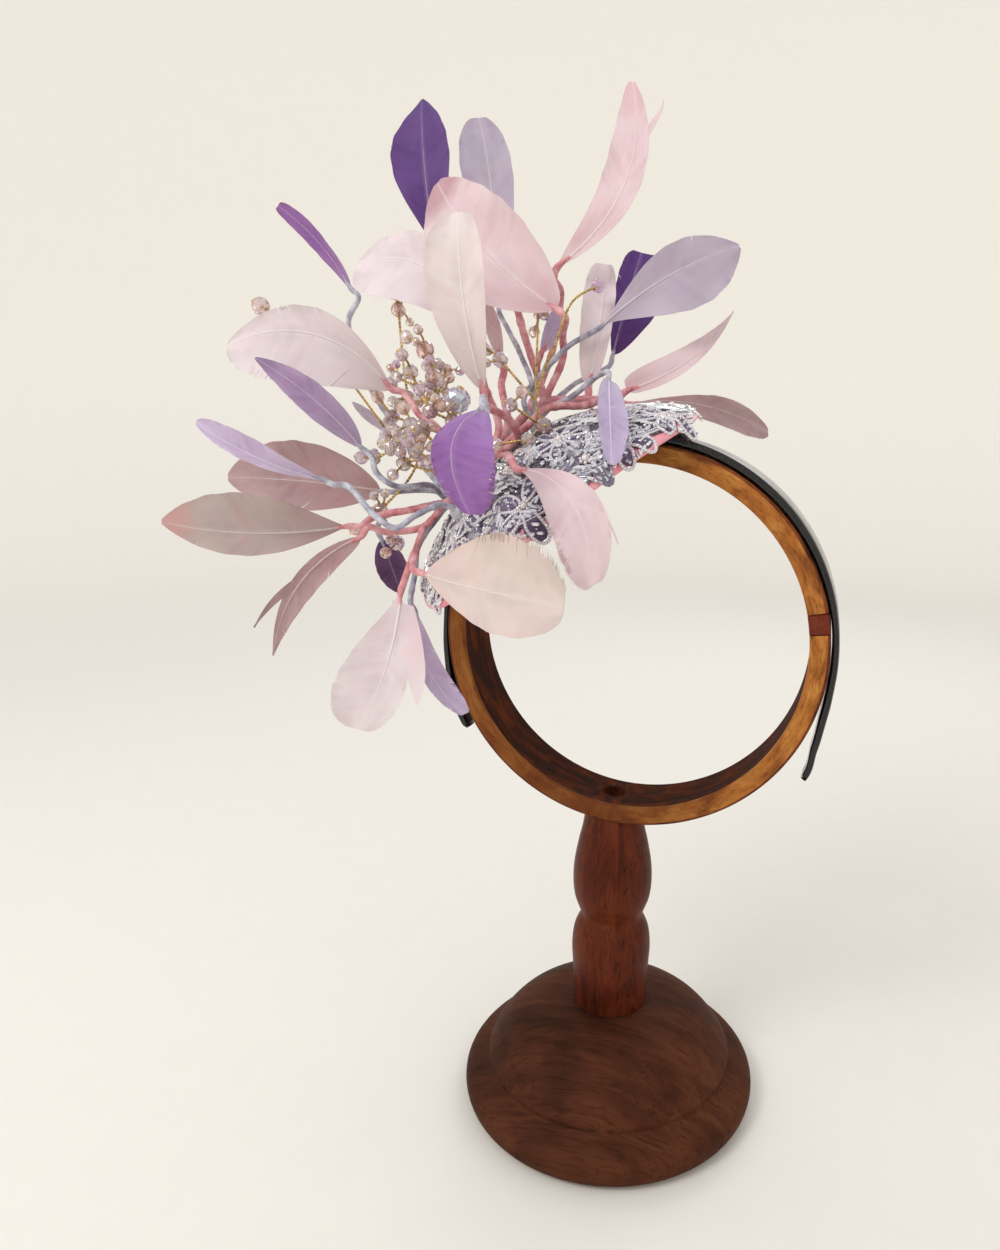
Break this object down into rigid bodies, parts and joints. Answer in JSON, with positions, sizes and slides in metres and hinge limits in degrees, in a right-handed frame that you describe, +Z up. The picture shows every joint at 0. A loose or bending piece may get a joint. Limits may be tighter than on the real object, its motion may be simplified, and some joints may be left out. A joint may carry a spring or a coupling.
{
  "type": "feather fascinator on a wooden ring stand",
  "caption": "Fascinator of dyed feathers, taped stems and crystal beads on a lace-covered oval base and a black headband, worn on a turned wooden ring stand.",
  "frame": {"origin": "middle of the stand's foot, on the flat underside that it stands on", "axes": "+Z up, -Y the side that the spray faces, +X to the viewer's right; the ring's axis runs along Y"},
  "size_m": [0.2323, 0.1575, 0.4234],
  "materials": {
    "foot_wood": "satin lacquer over dark wood",
    "stem_wood": "satin lacquer over reddish brown wood",
    "ring_wood": "satin lacquer over orange-brown wood",
    "key_wood": "satin lacquer over dark red wood",
    "black_band": "glossy black",
    "black_thread": "black wound thread",
    "dark_lining": "dark felt lining",
    "pink_satin": "pink satin",
    "beaded_lace": "silver-grey lace with bugle beads and purple petals",
    "feather_dark_purple": "soft dyed feather",
    "feather_lilac_grey": "soft dyed feather",
    "feather_pink": "soft dyed feather",
    "feather_ivory": "soft dyed feather",
    "feather_pale_pink": "soft dyed feather",
    "feather_purple": "soft dyed feather",
    "feather_mauve": "soft dyed feather",
    "feather_lilac": "soft dyed feather",
    "feather_dusty_pink": "soft dyed feather",
    "feather_grey_pink": "soft dyed feather",
    "feather_plum": "soft dyed feather",
    "feather_cream": "soft dyed feather",
    "pink_tape": "pink floral tape wound on wire",
    "grey_tape": "grey-blue floral tape wound on wire",
    "beads_and_wire": "faceted pinkish crystal beads on gold wire"
  },
  "bodies": {
    "root": {"stand_foot": "foot_wood", "stand_stem": "stem_wood", "stand_ring": "ring_wood", "ring_key": "key_wood", "headband": "black_band", "band_binding": "black_thread", "base_underlay": "dark_lining", "base_pad": "pink_satin", "lace_cover": "beaded_lace", "feather_01_dark_purple": "feather_dark_purple", "feather_02_lilac_grey": "feather_lilac_grey", "feather_03_tall_pink": "feather_pink", "feather_04_large_pink": "feather_pink", "feather_05_ivory": "feather_ivory", "feather_06_pale_pink": "feather_pale_pink", "feather_07_purple_curl": "feather_purple", "feather_08_pinkish_white": "feather_pale_pink", "feather_09_mauve": "feather_mauve", "feather_10_lilac": "feather_lilac", "feather_11_shadow_pink": "feather_dusty_pink", "feather_12_grey_pink": "feather_grey_pink", "feather_13_forked": "feather_dusty_pink", "feather_14_plum": "feather_plum", "feather_15_slit": "feather_pale_pink", "feather_16_lilac": "feather_lilac", "feather_17_cream": "feather_cream", "feather_18_front_pink": "feather_pink", "feather_19_vivid_purple": "feather_purple", "feather_20_hanging_lilac": "feather_lilac", "feather_21_upright_pink": "feather_pale_pink", "feather_22_dark_purple": "feather_dark_purple", "feather_23_blunt_lilac": "feather_lilac_grey", "feather_24_narrow_pink": "feather_pink", "feather_25_far_right_pink": "feather_dusty_pink", "feather_26_small_grey": "feather_lilac_grey", "feather_27_small_lilac": "feather_lilac", "feather_28_small_peach": "feather_pink", "stems_pink_middle": "pink_tape", "stems_pink_left": "pink_tape", "stems_grey_right": "grey_tape", "stems_grey_back": "grey_tape", "stems_grey_front": "grey_tape", "bead_spray_left": "beads_and_wire", "bead_spray_right": "beads_and_wire"}
  },
  "joints": []
}
